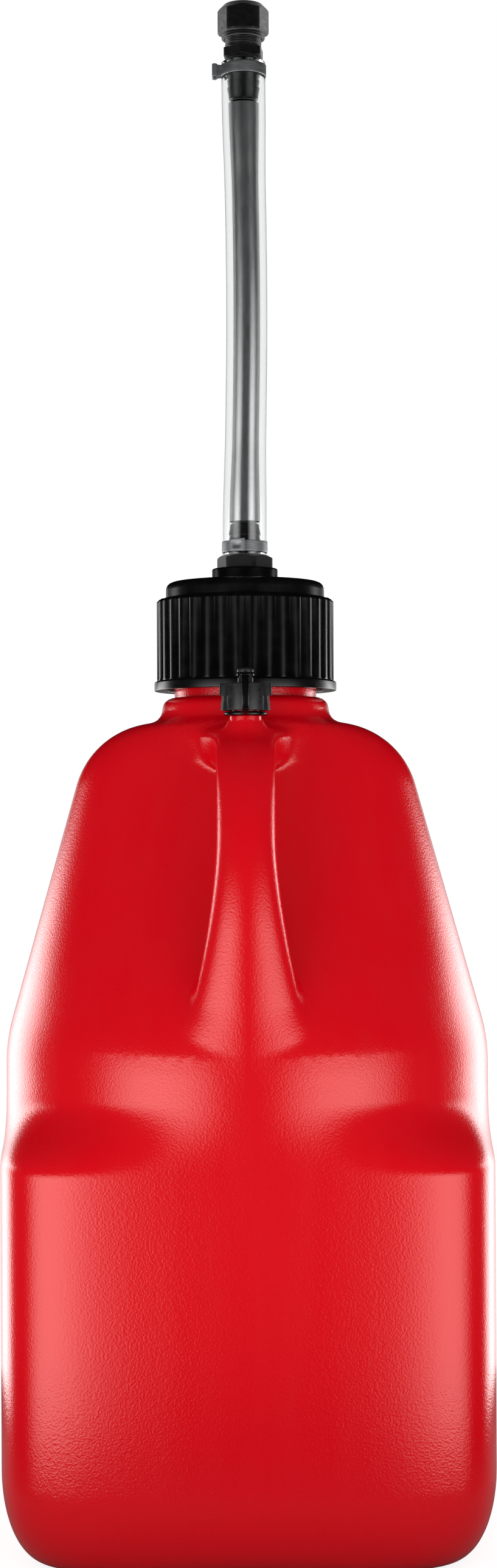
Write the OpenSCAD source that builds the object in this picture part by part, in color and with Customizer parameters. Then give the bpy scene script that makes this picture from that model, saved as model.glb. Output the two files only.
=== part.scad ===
// Square-based utility fuel jug with a screw cap, an upright clear filler hose and a tethered vent cap.
// Millimetres, +Z up, handle and vent at the front (-Y), origin at the middle of the base.

/* [Jug body] */
// Width and depth of the square lower body
body_w = 260; // [245:1:280]
// Exponent of the lower body's plan: higher is squarer
corner_square = 7; // [5:0.1:9]
// Share of a circle in that plan, which bows its faces
face_bow = 0.12; // [0.05:0.01:0.3]
// Height of the rounding between the sides and the base
foot_h = 44; // [30:1:60]
// How far that rounding draws the base in
foot_in = 20; // [12:1:36]
// Width of the flat ring that the jug stands on
stand_w = 18; // [10:1:30]
// Depth of the push-up inside that ring
base_recess = 4; // [2:0.5:8]
// Height at which the square corners start to die away
corner_z = 190; // [170:1:195]
// Height over which the corners die away into the round band
corner_fade = 46; // [35:1:54]
// Height of the round band's top edge, where the cone starts
shoulder_z = 259; // [252:1:275]
// Rounding between the band and the cone
shoulder_r = 60; // [30:1:80]
// Lean of the cone from vertical, in degrees
cone_lean = 15.6; // [13:0.1:17]
// Radius of the dome between the cone and the deck
dome_r = 46; // [40:1:52]
// Height of the deck at the foot of the neck
deck_z = 429; // [420:1:445]
// How far before the neck's axis the hand scoop's wall ends, at the deck
scoop_front = 51; // [50:0.5:56]
// Wall thickness of the blown shell
wall = 3; // [2:0.1:4]

/* [Neck] */
// Diameter of the bead at the foot of the neck
collar_d = 90; // [84:1:94]
// Height of that bead above the deck
collar_h = 14.5; // [10:0.5:16]
// Rounding of the bead's top edge
collar_round = 6.5; // [3:0.5:6.5]
// Hollow rounding between the deck and the bead
collar_fillet = 5; // [2:0.5:6]
// Diameter of the neck under its thread
neck_d = 76.8; // [72:0.2:78]
// Bore of the neck
neck_bore = 69; // [60:0.5:70]
// Height of the neck's lip above the deck
neck_h = 69; // [66:0.5:80]

/* [Handle] */
// Width of the grip
handle_w = 29; // [25:0.5:34]
// Thickness of the grip, front to back
handle_t = 23; // [20:0.5:28]
// Width of the foot where it runs into the shoulder
handle_foot_w = 59; // [50:1:70]
// Thickness of that foot
handle_foot_t = 40; // [32:1:46]
// How far the grip stays inside the front of the jug
handle_inset = 0.6; // [0.4:0.1:3]
// How far the grip's crown lies below the deck
crown_drop = 1; // [0.5:0.5:4]

/* [Main cap] */
// Diameter over the ribs
cap_d = 96; // [94:0.5:100]
// Height of the cap without its boss
cap_h = 58.7; // [57:0.1:59.5]
// Number of grip ribs
rib_count = 36; // [30:1:48]
// Depth of the ribs
rib_h = 1.3; // [0.8:0.1:1.8]
// How far the bottom rim stands out from the ribs
rim_out = 1.3; // [0.5:0.1:2]
// Height of the bottom rim
rim_h = 4.8; // [3:0.1:7]
// Diameter of the raised top disc
disc_d = 85.8; // [83:0.2:88]
// Height of the raised top disc
disc_h = 9.2; // [7:0.1:12]
// Rounding of the disc's edge
disc_round = 6; // [3:0.5:6.5]
// Thickness of the cap's top
cap_top = 4; // [3:0.1:6]
// Diameter of the centre boss
boss_d = 35.6; // [33:0.2:40]
// Height of the centre boss
boss_h = 7.5; // [6:0.1:10]
// Room between the cap and the neck for the thread
thread_room = 3.8; // [3:0.1:4.2]
// Thickness of the gasket under the cap's top
gasket_t = 3; // [2:0.1:4]

/* [Hose adapter] */
// Hex of the adapter, across its flats
adapter_hex = 26.7; // [24:0.1:29]
// Height of that hex
adapter_hex_h = 7.4; // [5:0.1:10]
// Turn of that hex about the hose
adapter_turn = -10; // [-30:1:30]
// Diameter of the shank in the cap's boss
shank_d = 20.8; // [19:0.1:21.5]
// How far the shank passes through the cap
shank_out = 3; // [1:0.5:5]
// Thickness of the O-ring under the hex
oring_t = 2; // [1.5:0.1:2.4]

/* [Hose] */
// Outer diameter of the hose
hose_od = 22.2; // [21:0.1:24]
// Bore of the hose
hose_id = 15.9; // [15:0.1:17]
// Length of the hose
hose_len = 267; // [200:1:400]
// How far the middle of the hose bows to the side
hose_bow = 1.5; // [0.5:0.1:4]
// How far the top of the hose stands to the side
hose_shift = 0.5; // [0.1:0.1:2]
// Diameter of the barbs' crests
barb_d = 17.8; // [17:0.1:18.5]
// Depth of each barb
barb_h = 0.9; // [0.5:0.1:1.2]
// Spacing of the barbs
barb_pitch = 4; // [3.5:0.1:5]
// Number of barbs on each tail
barb_count = 3; // [2:1:4]
// Bore through the adapter and the nozzle
flow_bore = 12; // [9:0.1:12.5]

/* [Clamps] */
// Width of the clamp bands
clamp_w = 6; // [5:0.5:8]
// Thickness of the bands
clamp_t = 0.7; // [0.5:0.1:1]
// Width of the pinched ear
ear_w = 7.9; // [6.5:0.1:9]
// How far the ear stands out from the band
ear_h = 3.5; // [3:0.1:5]
// Distance of each clamp from the end of the hose
clamp_inset = 1.4; // [0.5:0.1:2]
// Direction of the lower clamp's ear
lower_ear_turn = 255; // [0:1:360]
// Direction of the upper clamp's ear
upper_ear_turn = 180; // [0:1:360]

/* [Nozzle] */
// Hex of the nozzle, across its flats
nozzle_hex = 20.2; // [20:0.1:23]
// Height of that hex
nozzle_hex_h = 5.6; // [4:0.1:8]
// Turn of that hex about the hose
nozzle_turn = 23; // [0:1:60]
// Gap between the hose's end and the hex
nozzle_gap = 2; // [1:0.1:3]
// Diameter of the threaded spout
spout_d = 20; // [18.5:0.1:20.5]
// Length of the threaded spout
spout_h = 18; // [15:0.5:22]
// Hex of the nozzle cap, across its flats
cap_hex = 26; // [24:0.1:27]
// Diameter that the hex's corners are turned to
cap_corner_d = 27.8; // [27.2:0.1:29]
// Diameter of its top, inside the chamfer
cap_top_d = 21.5; // [20:0.1:23]
// Diameter of the round lip under that hex
lip_d = 23.5; // [23:0.1:24.2]
// Height of that lip
lip_h = 2.6; // [1.5:0.1:4]
// Height of the nozzle cap
nozzle_cap_h = 18.2; // [17.6:0.1:22]
// Thickness of the nozzle cap's top
nozzle_cap_top = 4; // [3:0.1:5]
// Thickness of the washer inside it
washer_t = 1.5; // [1:0.1:2]

/* [Vent] */
// Gap between the vent cap's pads and the main cap's rim
vent_gap = 3.5; // [2:0.5:6]
// Diameter of the vent neck
vent_neck_d = 15.4; // [14.4:0.1:16]
// Height of the vent neck above its seat
vent_neck_h = 13.4; // [12:0.1:17]
// Diameter of the seat under the tether's ring
vent_seat_d = 17; // [16.6:0.1:21]
// Height of that seat above the deck
vent_seat_h = 1.2; // [0.6:0.1:3]
// Bore of the vent
vent_bore = 10.4; // [8:0.1:11.4]
// Diameter of the vent cap
vent_cap_d = 22; // [21.6:0.1:24]
// Thickness of the vent cap's top
vent_cap_top = 2; // [1.5:0.1:3]
// How far the grip pads stand out
pad_out = 2.2; // [1.5:0.1:3]
// Width of the grip pads
pad_w = 9; // [7:0.1:12]
// Thickness of the seal inside the vent cap
vent_seal_t = 1.5; // [1:0.1:2.2]
// Height of the knob on the vent cap
knob_h = 7.8; // [6.5:0.1:9]
// Diameter of the knob's head
knob_d = 8.8; // [8:0.1:10]
// Thickness of the knob's head
knob_head = 2.2; // [1.5:0.1:3]
// Height of the tether's ring
ring_h = 2.1; // [1.8:0.1:3]
// Width of the tether's strap
strap_w = 3.5; // [2.5:0.1:5]
// Thickness of the tether's strap
strap_t = 1.4; // [1:0.1:1.8]
// Thickness of the tether's eyelet
eyelet_t = 1.7; // [1.2:0.1:2.2]

/* [Hidden] */
$fn = 64;

// Clearances
seat_room = 0.3;   // round moving faces that don't touch
slip_room = 0.1;   // round fixed faces in one body
squeeze = 0.1;     // clamps and barbs in the soft hose
cut = 1;           // how far a cutting tool passes the face it cuts

// Facets of the lofted forms
shell_sides = 48;
grip_sides = 24;
hose_sides = 24;

// Jug
half_w = body_w / 2;
stand_in = half_w - foot_in;
dome_z = deck_z - dome_r;
shoulder_c = shoulder_z - shoulder_r * tan(cone_lean / 2);
dome_x = half_w - (dome_z + dome_r * sin(cone_lean) - shoulder_z) * tan(cone_lean) - dome_r * cos(cone_lean);
scoop_lead = 7;      // how far before the front face the scoop's curve starts, at the shoulder
scoop_curve = 1.5;   // how hollow the scoop is: 1 is a straight slope
scoop_ease = 12;     // rounding where the scoop runs out at the shoulder and the dome
corner_crowd = 5.5;  // how far, in degrees, the plan's points shift towards the corners
neck_r = neck_d / 2;
collar_r = collar_d / 2;
lip_z = deck_z + neck_h;

// Main cap
ceiling_z = lip_z + gasket_t;
cap_z1 = ceiling_z + cap_top;
cap_z0 = cap_z1 - cap_h;
skirt_z1 = cap_z1 - disc_h;
rib_r = cap_d / 2;
rim_r = rib_r + rim_out;
skirt_bore = neck_r + thread_room;
pocket_room = 1;
pocket_r = neck_r + pocket_room;
pocket_z = skirt_z1 - cap_top;
crown_wall = 2;      // wall round the gasket's pocket, inside the disc
crown_top = 1.5;     // cover over that pocket, inside the disc
skirt_chamfer = 1.5;
rib_points = 6;
boss_z1 = cap_z1 + boss_h;

// Adapter and hose
shank_r = shank_d / 2;
gland_r = shank_r + slip_room + oring_t + slip_room;
hose_z0 = boss_z1 + adapter_hex_h;
hose_z1 = hose_z0 + hose_len;
barb_r = barb_d / 2;
hose_r = hose_od / 2;
hose_grip_bore = barb_r - squeeze;
hose_grip_r = sqrt(hose_r * hose_r - hose_id * hose_id / 4 + hose_grip_bore * hose_grip_bore);
tail_lead = 2.5;     // plain length at each end of a barbed tail
hex_turned = 0.04;   // share of a hex's width turned off at each side of its end
tail_h = tail_lead + barb_count * barb_pitch + tail_lead;
hose_ease = 50;      // length over which the hose narrows again behind a tail

// Clamps
ear_roll = 0.9;      // how much thicker than the band the ear's rolled head is

// Nozzle
nozzle_z0 = hose_z1 + nozzle_gap;
spout_z0 = nozzle_z0 + nozzle_hex_h;
spout_z1 = spout_z0 + spout_h;
nozzle_ceiling = spout_z1 + washer_t;
nozzle_cap_z1 = nozzle_ceiling + nozzle_cap_top;
nozzle_cap_z0 = nozzle_cap_z1 - nozzle_cap_h;
spout_bore = spout_d / 2 + seat_room;
cap_hex_h = nozzle_cap_h - lip_h;
cap_chamfer = 48;    // slope of the chamfer round the cap's top, in degrees
lip_bead = 1.1;      // height of the bead at the lip's bottom edge
lip_step = 0.5;      // how far the bead stands out from the lip

// Vent
pad_r = vent_cap_d / 2 + pad_out;
vent_y = -(rim_r + vent_gap + pad_r);
vent_seat_z = deck_z + vent_seat_h;
vent_lip_z = vent_seat_z + vent_neck_h;
vent_cap_z0 = vent_seat_z + ring_h + 2 * seat_room;
vent_ceiling = vent_lip_z + vent_seal_t;
vent_cap_z1 = vent_ceiling + vent_cap_top;
vent_cap_bore = vent_neck_d / 2 + 3 * seat_room;
knob_z1 = vent_cap_z1 + knob_h;
knob_step = 1.2;
post_r = knob_d / 2 - knob_step;
eyelet_z1 = knob_z1 - knob_head - seat_room;
eyelet_z0 = eyelet_z1 - eyelet_t;
ring_bore = vent_neck_d / 2 + slip_room;
ring_r = vent_cap_d / 2 + seat_room;
eyelet_r = knob_d / 2 + seat_room;
pad_ribbed = 0.46;   // share of the pads' height that stands out fully
pad_foot = 0.8;      // share of that standing out at their foot
pad_waist = 0.5;     // share of it at their waist
strap_bow = 7;       // pull of the strap's curve to the front
strap_steps = 12;

// Handle: its middle line starts behind the vent, curves over and stands upright down to the shoulder
grip_rise = 61;      // the upright part's top above the shoulder's edge
grip_sink = 14;      // its end below that edge
flare_rise = 108;    // height above that edge where the foot starts to widen
grip_back = 21;      // start of the curve behind the vent
grip_crown = 29;     // pull of the curve at the crown
grip_bend = 54;      // pull of the curve at the upright part
grip_square = 2;     // exponent of the grip's oval
grip_steps = 9;
grip_y = -(half_w - handle_t / 2 - handle_inset);
grip_top = deck_z - crown_drop - handle_t / 2;
grip_mid = shoulder_z + grip_rise;
grip_end = shoulder_z - grip_sink;
flare_z = shoulder_z + flare_rise;
upper_grip = [[vent_y + grip_back, grip_top], [vent_y - grip_crown, grip_top],
    [grip_y, grip_mid + grip_bend], [grip_y, grip_mid]];

function smooth(t) = let (u = min(max(t, 0), 1)) u * u * (3 - 2 * u);
function mix(a, b, t) = a + (b - a) * t;
function bezier(p, t) = let (s = 1 - t)
    s * s * s * p[0] + 3 * s * s * t * p[1] + 3 * s * t * t * p[2] + t * t * t * p[3];
function bezier_slope(p, t) = let (s = 1 - t)
    s * s * (p[1] - p[0]) + 2 * s * t * (p[2] - p[1]) + t * t * (p[3] - p[2]);
function unit(v) = v / norm(v);

// Triangles of a closed loft through rings of equal size, with a fan at each end
function band_faces(count, sides) = [for (i = [0 : count - 2], j = [0 : sides - 1])
    let (a = i * sides + j, b = i * sides + (j + 1) % sides)
    each [[a, a + sides, b], [b, a + sides, b + sides]]];
function loft_faces(count, sides) = concat(band_faces(count, sides),
    [for (j = [1 : sides - 2]) [0, j, j + 1]],
    [for (j = [1 : sides - 2]) let (k = (count - 1) * sides) [k, k + j + 1, k + j]]);

// Plan of the shell at one height: a super-ellipse mixed with an oval, its front half cut back by the scoop
function roundness(z) = mix(face_bow, 1, smooth((z - corner_z) / corner_fade));
function scoop(z) = let (t = min(max((z - shoulder_z) / (deck_z - shoulder_z), 0), 1))
    scoop_front + (half_w + scoop_lead - scoop_front) * pow(1 - t, scoop_curve);
function soft_min(a, b) = let (h = max(1 - abs(a - b) / scoop_ease, 0)) min(a, b) - h * h * scoop_ease / 4;
function plan_reach(a, across, along, n, round) = let (c = abs(cos(a)) / across, s = abs(sin(a)) / along)
    1 / ((1 - round) * pow(pow(c, n) + pow(s, n), 1 / n) + round * norm([c, s]));
function plan_ring(r, z, in) = [for (j = [0 : shell_sides - 1])
    let (even = 360 * j / shell_sides, a = even + corner_crowd * sin(4 * even),
        along = sin(a) < 0 && z > shoulder_c ? soft_min(r, scoop(z) - in) : r,
        d = plan_reach(a, r, along, corner_square, roundness(z)))
    [d * cos(a), d * sin(a), z]];

// Half profile of the shell, from the middle of the base to the deck, drawn in by the given thickness
function shell_profile(in) = concat(
    [[stand_in - stand_w - base_recess, base_recess + in], [stand_in - stand_w, in]],
    [for (a = [-90 : 18 : 0]) [stand_in + (foot_in - in) * cos(a), foot_h + (foot_h - in) * sin(a)]],
    [for (k = [0 : 0.25 : 1]) [half_w - in, corner_z + k * corner_fade]],
    [for (k = [0 : 0.5 : 1]) let (a = k * cone_lean, r = shoulder_r - in)
        [half_w - shoulder_r + r * cos(a), shoulder_c + r * sin(a)]],
    [for (k = [0.1 : 0.1 : 0.9]) mix(shoulder_end(in), dome_point(in, cone_lean), k)],
    [for (k = [0 : 0.2 : 1]) dome_point(in, mix(cone_lean, 90, k))]);
function shoulder_end(in) = [half_w - shoulder_r, shoulder_c]
    + (shoulder_r - in) * [cos(cone_lean), sin(cone_lean)];
function dome_point(in, a) = [dome_x, dome_z] + (dome_r - in) * [cos(a), sin(a)];

module shell(in) {
    profile = shell_profile(in);
    polyhedron([for (p = profile) each plan_ring(p[0], p[1], in)], loft_faces(len(profile), shell_sides));
}

// One ring of the handle: an oval square to the middle line
function grip_width(z) = mix(handle_w, handle_foot_w, smooth((flare_z - z) / (flare_z - shoulder_z)));
function grip_depth(z) = mix(handle_t, handle_foot_t, smooth((grip_mid - z) / (grip_mid - grip_end)));
function grip_ring(p, way, in) = let (side = unit([way[1], -way[0]]))
    [for (j = [0 : grip_sides - 1])
        let (a = 360 * j / grip_sides,
            d = plan_reach(a, grip_width(p[1]) / 2 - in, grip_depth(p[1]) / 2 - in, grip_square, 0),
            off = d * sin(a) * side)
        [d * cos(a), p[0] + off[0], p[1] + off[1]]];

module handle(in) {
    upper = [for (k = [0 : grip_steps]) let (t = k / grip_steps)
        grip_ring(bezier(upper_grip, t), bezier_slope(upper_grip, t), in)];
    lower = [for (k = [1 : grip_steps]) let (z = mix(grip_mid, grip_end, k / grip_steps))
        grip_ring([grip_depth(z) / 2 + handle_inset - half_w, z], [0, -1], in)];
    rings = concat(upper, lower);
    polyhedron([for (r = rings) each r], loft_faces(len(rings), grip_sides));
}

// Neck with its bead, solid
module neck() {
    top = deck_z + collar_h - collar_round;
    rotate_extrude()
        polygon(concat(
            [[0, deck_z - collar_fillet]],
            [[collar_r + collar_fillet, deck_z - collar_fillet]],
            [for (a = [270 : -30 : 180]) [collar_r + collar_fillet, deck_z + collar_fillet]
                + collar_fillet * [cos(a), sin(a)]],
            [for (a = [0 : 18 : 90]) [collar_r - collar_round, top] + collar_round * [cos(a), sin(a)]],
            [[neck_r, top + collar_round], [neck_r, lip_z], [0, lip_z]]));
}

module vent_neck() {
    translate([0, vent_y, grip_top]) {
        cylinder(d = vent_seat_d, h = vent_seat_z - grip_top);
        cylinder(d = vent_neck_d, h = vent_lip_z - grip_top);
    }
}

module jug_body() color("#c8000f") difference() {
    union() {
        shell(0);
        handle(0);
        neck();
        vent_neck();
    }
    shell(wall);
    handle(wall);
    translate([0, 0, dome_z]) cylinder(d = neck_bore, h = lip_z - dome_z + cut);
    translate([0, vent_y, grip_top]) cylinder(d = vent_bore, h = vent_lip_z - grip_top + cut);
}

// Ribbed cap

function rib_point(a) = (rib_r - rib_h + rib_h * abs(sin(a * rib_count / 2))) * [cos(a), sin(a)];

module ribbed_skirt() {
    step = 360 / rib_count / rib_points;
    intersection() {
        translate([0, 0, cap_z0]) linear_extrude(skirt_z1 - cap_z0)
            polygon([for (k = [0 : rib_count * rib_points - 1]) rib_point(k * step)]);
        rotate_extrude() polygon([[0, cap_z0 - cut], [rim_r, cap_z0 - cut],
            [rim_r, skirt_z1 - skirt_chamfer - rim_out], [rib_r - skirt_chamfer, skirt_z1], [0, skirt_z1]]);
    }
}

module top_disc() {
    r = disc_d / 2 - disc_round;
    rotate_extrude() polygon(concat(
        [[0, pocket_z], [disc_d / 2, pocket_z]],
        [for (a = [0 : 15 : 90]) [r, cap_z1 - disc_round] + disc_round * [cos(a), sin(a)]],
        [[0, cap_z1]]));
}

module main_cap() color("#1c1c1e") difference() {
    union() {
        translate([0, 0, cap_z0]) cylinder(r = rim_r, h = rim_h);
        ribbed_skirt();
        top_disc();
        translate([0, 0, pocket_z])
            cylinder(r = pocket_r + crown_wall, h = ceiling_z + crown_top - pocket_z);
        translate([0, 0, cap_z1 - cap_top]) cylinder(d = boss_d, h = cap_top + boss_h);
    }
    translate([0, 0, cap_z0 - cut]) cylinder(r = skirt_bore, h = pocket_z - cap_z0 + cut);
    translate([0, 0, pocket_z - cut]) cylinder(r = pocket_r, h = ceiling_z - pocket_z + cut);
    translate([0, 0, ceiling_z - cut]) cylinder(r = shank_r + slip_room, h = cap_top + boss_h + 2 * cut);
    translate([0, 0, boss_z1 - oring_t]) cylinder(r = gland_r, h = oring_t + cut);
}

module cap_gasket() color("#2b2b2b") translate([0, 0, lip_z]) difference() {
    cylinder(r = pocket_r - seat_room, h = gasket_t);
    translate([0, 0, -cut]) cylinder(d = neck_bore, h = gasket_t + 2 * cut);
}

// Barbed fittings

module hex_bar(across, height) cylinder(d = across / cos(30), h = height, $fn = 6);

// Hex bar with its top corners turned off at 30 degrees
module turned_hex(across, height) {
    corner = across / 2 / cos(30);
    flat = across * (1 / 2 - hex_turned);
    drop = (corner - flat) * tan(30);
    intersection() {
        hex_bar(across, height);
        rotate_extrude() polygon([[0, 0], [corner + cut, 0], [corner + cut, height - drop - cut * tan(30)],
            [flat, height], [0, height]]);
    }
}

// Barbed tail standing on the XY plane
module barbed_tail() {
    root = barb_r - barb_h;
    rotate_extrude() polygon(concat(
        [[0, -cut], [root, -cut], [root, tail_lead]],
        [for (k = [0 : barb_count - 1]) let (z = tail_lead + k * barb_pitch)
            each [[barb_r, z], [root, z + barb_pitch]]],
        [[root, tail_h], [0, tail_h]]));
}

module hose_adapter() color("#232325") difference() {
    union() {
        translate([0, 0, ceiling_z - shank_out])
            cylinder(r = shank_r, h = boss_z1 - ceiling_z + shank_out + cut);
        translate([0, 0, boss_z1]) rotate(adapter_turn) turned_hex(adapter_hex, adapter_hex_h);
        translate([0, 0, hose_z0]) barbed_tail();
    }
    translate([0, 0, ceiling_z - shank_out - cut])
        cylinder(d = flow_bore, h = hose_z0 + tail_h - ceiling_z + shank_out + 2 * cut);
}

module adapter_oring() color("#111111") translate([0, 0, boss_z1 - oring_t / 2])
    rotate_extrude() translate([shank_r + slip_room + oring_t / 2, 0]) circle(d = oring_t);

// Hose

// Place of the hose's middle line at a share of its height, upright at both ends
function hose_lean(u) = hose_bow * pow(sin(180 * u), 2) + hose_shift * smooth(u);
function hose_grip(u) = let (end = min(u, 1 - u) * hose_len) 1 - smooth((end - tail_h) / hose_ease);
function hose_ring(u, r) = [for (j = [0 : hose_sides - 1])
    let (a = 360 * j / hose_sides) [hose_lean(u) + r * cos(a), r * sin(a), hose_z0 + u * hose_len]];

module filler_hose() color("#b9bcbc", 0.6) {
    steps = 14;
    outer = [for (k = [0 : steps]) let (u = k / steps)
        hose_ring(u, mix(hose_r, hose_grip_r, hose_grip(u)))];
    inner = [for (k = [steps : -1 : 0]) let (u = k / steps)
        hose_ring(u, mix(hose_id / 2, hose_grip_bore, hose_grip(u)))];
    rings = concat(outer, inner, [outer[0]]);
    count = len(rings) - 1;
    last = count * hose_sides;
    polyhedron([for (k = [0 : count - 1]) each rings[k]],
        [for (f = band_faces(count + 1, hose_sides)) [for (i = f) i % last]]);
}

// Ear clamp round the hose, its ear along +X
module ear_clamp() linear_extrude(clamp_w) {
    inner = hose_grip_r - squeeze;
    outer = inner + clamp_t;
    head = clamp_t + ear_roll;
    neck_w = ear_w - 2 * head + 2 * clamp_t;
    difference() {
        circle(r = outer);
        circle(r = inner);
        translate([0, -neck_w / 2 + clamp_t]) square([outer + cut, neck_w - 2 * clamp_t]);
    }
    translate([outer - clamp_t, 0]) difference() {
        union() {
            translate([0, -neck_w / 2]) square([ear_h + clamp_t - head, neck_w]);
            translate([ear_h + clamp_t - head, 0]) ear_head(ear_w, head);
        }
        translate([-cut, -neck_w / 2 + clamp_t]) square([ear_h + cut, neck_w - 2 * clamp_t]);
    }
}

// Rolled top of the ear: a bar with round ends
module ear_head(width, thick) {
    translate([0, (thick - width) / 2]) square([thick, width - thick]);
    for (s = [-1, 1]) translate([thick / 2, s * (width - thick) / 2]) circle(d = thick);
}

module lower_clamp() color("#9a9c9e")
    translate([0, 0, hose_z0 + clamp_inset]) rotate(lower_ear_turn) ear_clamp();

module upper_clamp() color("#9a9c9e")
    translate([hose_shift, 0, hose_z1 - clamp_inset - clamp_w]) rotate(upper_ear_turn) ear_clamp();

// Nozzle, its washer and cap

module nozzle() color("#232325") translate([hose_shift, 0, 0]) difference() {
    union() {
        translate([0, 0, hose_z1]) mirror([0, 0, 1]) barbed_tail();
        translate([0, 0, hose_z1]) cylinder(r = barb_r - barb_h, h = nozzle_gap + cut);
        translate([0, 0, spout_z0]) mirror([0, 0, 1])
            rotate(-nozzle_turn) turned_hex(nozzle_hex, nozzle_hex_h);
        translate([0, 0, nozzle_z0]) cylinder(d = spout_d, h = nozzle_hex_h + spout_h);
    }
    translate([0, 0, hose_z1 - tail_h - cut])
        cylinder(d = flow_bore, h = spout_z1 - hose_z1 + tail_h + 2 * cut);
}

module nozzle_washer() color("#303030") translate([hose_shift, 0, spout_z1])
    cylinder(r = spout_bore - seat_room, h = washer_t);

module nozzle_cap() color("#202022") translate([hose_shift, 0, nozzle_cap_z0]) difference() {
    lip_r = lip_d / 2;
    union() {
        rotate_extrude() polygon([[0, 0], [lip_r, 0], [lip_r, lip_bead],
            [lip_r - lip_step, lip_bead + lip_step], [lip_r - lip_step, lip_h + cut], [0, lip_h + cut]]);
        translate([0, 0, lip_h]) intersection() {
            hex_bar(cap_hex, cap_hex_h);
            rotate_extrude() polygon([[0, 0], [cap_corner_d / 2, 0],
                [cap_corner_d / 2, cap_hex_h - (cap_corner_d - cap_top_d) / 2 * tan(cap_chamfer)],
                [cap_top_d / 2, cap_hex_h], [0, cap_hex_h]]);
        }
    }
    translate([0, 0, -cut]) cylinder(r = spout_bore, h = nozzle_ceiling - nozzle_cap_z0 + cut);
}

// Vent cap, its seal and tether

module grip_pads() for (s = [-1, 1]) {
    h = vent_cap_z1 - vent_cap_z0;
    root = vent_cap_d / 2;
    intersection() {
        translate([s > 0 ? 0 : -pad_r, -pad_w / 2, 0]) cube([pad_r, pad_w, h]);
        union() {
            translate([0, 0, h * (1 - pad_ribbed)]) cylinder(r = pad_r, h = h * pad_ribbed);
            cylinder(r1 = root + pad_out * pad_foot, r2 = root + pad_out * pad_waist, h = h);
        }
    }
}

module vent_cap() color("#1e1e20") translate([0, vent_y, vent_cap_z0]) difference() {
    h = vent_cap_z1 - vent_cap_z0;
    union() {
        cylinder(d = vent_cap_d, h = h);
        grip_pads();
        cylinder(r = post_r, h = h + knob_h);
        translate([0, 0, h + knob_h - knob_head]) cylinder(d = knob_d, h = knob_head);
    }
    translate([0, 0, -cut]) cylinder(r = vent_cap_bore, h = vent_ceiling - vent_cap_z0 + cut);
}

module vent_seal() color("#303030") translate([0, vent_y, vent_lip_z])
    cylinder(r = vent_cap_bore - seat_room, h = vent_seal_t);

// Strap's middle line in front of the vent's axis, from the ring up and over to the eyelet
strap_route = [[ring_r - strap_t, vent_seat_z + ring_h / 2], [ring_r + strap_bow, vent_seat_z + ring_h / 2],
    [ring_r + strap_bow, eyelet_z1 + eyelet_t], [eyelet_r - strap_t, (eyelet_z0 + eyelet_z1) / 2]];
function strap_edge(side) = [for (k = [0 : strap_steps])
    let (t = k / strap_steps, way = unit(bezier_slope(strap_route, t)))
    bezier(strap_route, t) + side * strap_t / 2 * [way[1], -way[0]]];

module vent_tether() color("#1e1e20") translate([0, vent_y, 0]) {
    difference() {
        union() {
            translate([0, 0, vent_seat_z]) cylinder(r = ring_r, h = ring_h);
            translate([0, 0, eyelet_z0]) cylinder(r = eyelet_r, h = eyelet_t);
            rotate([90, 0, -90]) linear_extrude(strap_w, center = true)
                polygon(concat(strap_edge(1), [for (k = [strap_steps : -1 : 0]) strap_edge(-1)[k]]));
        }
        translate([0, 0, vent_seat_z - cut]) cylinder(r = ring_bore, h = ring_h + 2 * cut);
        translate([0, 0, eyelet_z0 - cut]) cylinder(r = post_r + seat_room, h = eyelet_t + 2 * cut);
    }
}

jug_body();
main_cap();
cap_gasket();
hose_adapter();
adapter_oring();
filler_hose();
lower_clamp();
upper_clamp();
nozzle();
nozzle_washer();
nozzle_cap();
vent_cap();
vent_seal();
vent_tether();
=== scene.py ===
import math
from types import SimpleNamespace as Sizes
import bmesh
import bpy
import numpy as np
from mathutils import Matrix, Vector


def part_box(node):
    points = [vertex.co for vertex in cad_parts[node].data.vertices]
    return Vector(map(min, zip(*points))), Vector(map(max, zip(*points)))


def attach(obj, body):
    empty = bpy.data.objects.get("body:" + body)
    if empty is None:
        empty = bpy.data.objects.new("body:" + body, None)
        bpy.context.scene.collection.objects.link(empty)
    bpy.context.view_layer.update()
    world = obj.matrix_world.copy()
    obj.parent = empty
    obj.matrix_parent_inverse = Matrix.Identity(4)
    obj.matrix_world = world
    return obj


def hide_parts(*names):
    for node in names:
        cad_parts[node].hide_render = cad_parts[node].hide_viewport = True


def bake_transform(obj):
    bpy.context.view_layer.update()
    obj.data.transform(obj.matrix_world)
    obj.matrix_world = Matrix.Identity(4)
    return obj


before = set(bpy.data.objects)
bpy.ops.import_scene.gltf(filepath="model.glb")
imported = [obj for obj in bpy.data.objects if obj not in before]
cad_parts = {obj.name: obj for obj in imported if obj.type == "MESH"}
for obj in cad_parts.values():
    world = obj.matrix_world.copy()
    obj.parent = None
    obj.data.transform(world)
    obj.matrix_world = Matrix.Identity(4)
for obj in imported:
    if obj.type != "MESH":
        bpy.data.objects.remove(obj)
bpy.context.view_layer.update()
scene = bpy.context.scene
scene.view_settings.view_transform = "Standard"
mm = 0.001


def pick(sizes, *names):
    return (getattr(sizes, name) for name in names)


def nodeBox(node):  # a CAD node's corners in millimetres
    low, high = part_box(node)
    return low / mm, high / mm


def linearColour(hexCode):
    parts = [int(hexCode[i:i + 2], 16) / 255 for i in (0, 2, 4)]
    return [c / 12.92 if c <= 0.04045 else ((c + 0.055) / 1.055) ** 2.4 for c in parts] + [1]


def addObject(name, data):
    thing = bpy.data.objects.new(name, data)
    scene.collection.objects.link(thing)
    return thing


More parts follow.
